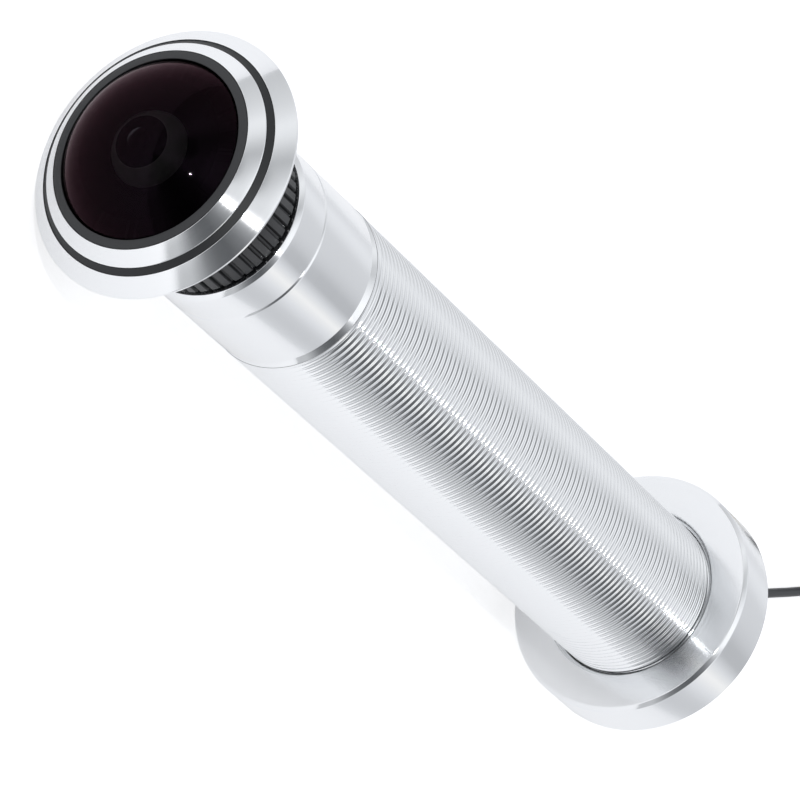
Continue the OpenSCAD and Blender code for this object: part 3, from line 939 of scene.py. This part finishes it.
# studio round the object: white panels and grey gaps, read by the angle round the tube's axis
studioSet = {
    "rear": [
        (-95, "#e4e6ea"), (-82, "#e4e6ea"), (-68, "#f2f4f8"), (-57, "#eceef2"), (-45, "#dcdee2"),
        (-20, "#d8dade"), (-8, "#d0d2d6"), (4, "#bfc1c5"), (15, "#bfc1c5"), (26, "#e4e6ea"),
        (37, "#ffffff"), (50, "#eaecf0"), (63, "#d5d7db"), (74, "#d0d2d6"), (86, "#d9dbdf"),
        (95, "#eff1f5"),
    ],
    "front": [
        (-95, "#c9cbce"), (-86, "#cfd1d4"), (-73, "#dddfe2"), (-66, "#e8eaed"), (-58, "#f8fafd"),
        (-50, "#edeff2"), (-42, "#d2d4d7"), (-34, "#babcbf"), (-24, "#cdcfd2"), (-12, "#e0e2e5"),
        (-1, "#e8eaed"), (12, "#e3e5e8"), (21, "#a9abae"), (34, "#7a7c7f"), (46, "#5f6164"),
        (57, "#67696c"), (66, "#7f8184"), (74, "#abadb0"), (80, "#c6c8cb"), (89, "#c5c7ca"),
        (95, "#d1d3d6"),
    ],
}
surroundSet = {
    "blend": 0.15,  # the front half runs into the rear half this far on either side of the middle
    "ceilingFrom": (0.7, 0.78),  # heights between which the brighter ceiling begins
    "ceilingStrength": (1, 1.4),
}
# two round cards that the thread's flanks mirror: a grey one beside the camera, a white one low in front;
# radius and soft edge in degrees
cardSets = [
    {"way": (-0.215, -0.863, 0.457), "radius": 7, "soft": 5, "colour": "#8c8e91"},
    {"way": (0.53, -0.848, 0), "radius": 6, "soft": 5, "colour": "#e0e2e5"},
]
world = bpy.data.worlds.new("studio")
bpy.context.scene.world = world
world.use_nodes = True
worldTree = world.node_tree
worldTree.nodes.clear()
way = addNode(worldTree, "ShaderNodeTexCoord").outputs["Generated"]
wayParts = addNode(worldTree, "ShaderNodeSeparateXYZ", {0: way})
roundAngle = addMath(worldTree, "ARCTAN2", wayParts.outputs["X"], wayParts.outputs["Z"])
share = addNode(worldTree, "ShaderNodeMapRange", {
    "Value": roundAngle, "From Min": -math.pi, "From Max": math.pi
})
ramps = {}
for side, stops in studioSet.items():
    ramp = addNode(worldTree, "ShaderNodeValToRGB", {0: share.outputs[0]})
    ramp.color_ramp.interpolation = "LINEAR"
    elements = ramp.color_ramp.elements
    while len(elements) < len(stops):
        elements.new(0.5)
    for element, (degrees, colour) in zip(elements, stops):
        element.position = degrees / 360 + 0.5
        element.color = hexColour(colour)
    ramps[side] = ramp.outputs[0]
rearShare = addNode(worldTree, "ShaderNodeMapRange", {
    "Value": wayParts.outputs["Y"], "From Min": -surroundSet["blend"], "From Max": surroundSet["blend"]
})
surround = mixColours(worldTree, rearShare.outputs[0], ramps["front"], ramps["rear"])
ceilingLow, ceilingHigh = surroundSet["ceilingFrom"]
plainStrength, ceilingStrength = surroundSet["ceilingStrength"]
ceiling = addNode(worldTree, "ShaderNodeMapRange", {
    "Value": wayParts.outputs["Z"],
    "From Min": ceilingLow,
    "From Max": ceilingHigh,
    "To Min": plainStrength,
    "To Max": ceilingStrength,
})
for card in cardSets:
    towardCard = addNode(worldTree, "ShaderNodeVectorMath", {
        0: way, 1: Vector(card["way"]).normalized()
    }, operation="DOT_PRODUCT")
    cardShare = addNode(worldTree, "ShaderNodeMapRange", {
        "Value": towardCard.outputs["Value"],
        "From Min": math.cos(math.radians(card["radius"] + card["soft"])),
        "From Max": math.cos(math.radians(card["radius"])),
    })
    surround = mixColours(worldTree, cardShare.outputs[0], surround, hexColour(card["colour"]))
studioLight = addNode(worldTree, "ShaderNodeBackground", {
    "Color": surround, "Strength": ceiling.outputs[0]
})
whiteBack = addNode(worldTree, "ShaderNodeBackground", {"Color": hexColour("#ffffff"), "Strength": 1})
worldPath = addNode(worldTree, "ShaderNodeLightPath")
mixed = addNode(worldTree, "ShaderNodeMixShader", {
    0: worldPath.outputs["Is Camera Ray"], 1: studioLight.outputs[0], 2: whiteBack.outputs[0]
})
addNode(worldTree, "ShaderNodeOutputWorld", {"Surface": mixed.outputs[0]})

# small lamp beside the camera, which makes the bright line along the thread and the dot in the lens
lampSet = {
    "way": (0.18, -0.771, 0.611),
    "distance": 0.45,  # m
    "size": 0.014,  # m
    "power": 0.4,  # W
}
lampData = bpy.data.lights.new("lamp", "AREA")
lampData.shape = "DISK"
lampData.size = lampSet["size"]
lampData.energy = lampSet["power"]
lamp = addObject("lamp", lampData)
lampWay = Vector(lampSet["way"]).normalized()
lamp.location = lampWay * lampSet["distance"]
lamp.rotation_euler = lampWay.to_track_quat("Z", "Y").to_euler()
print("studio made")
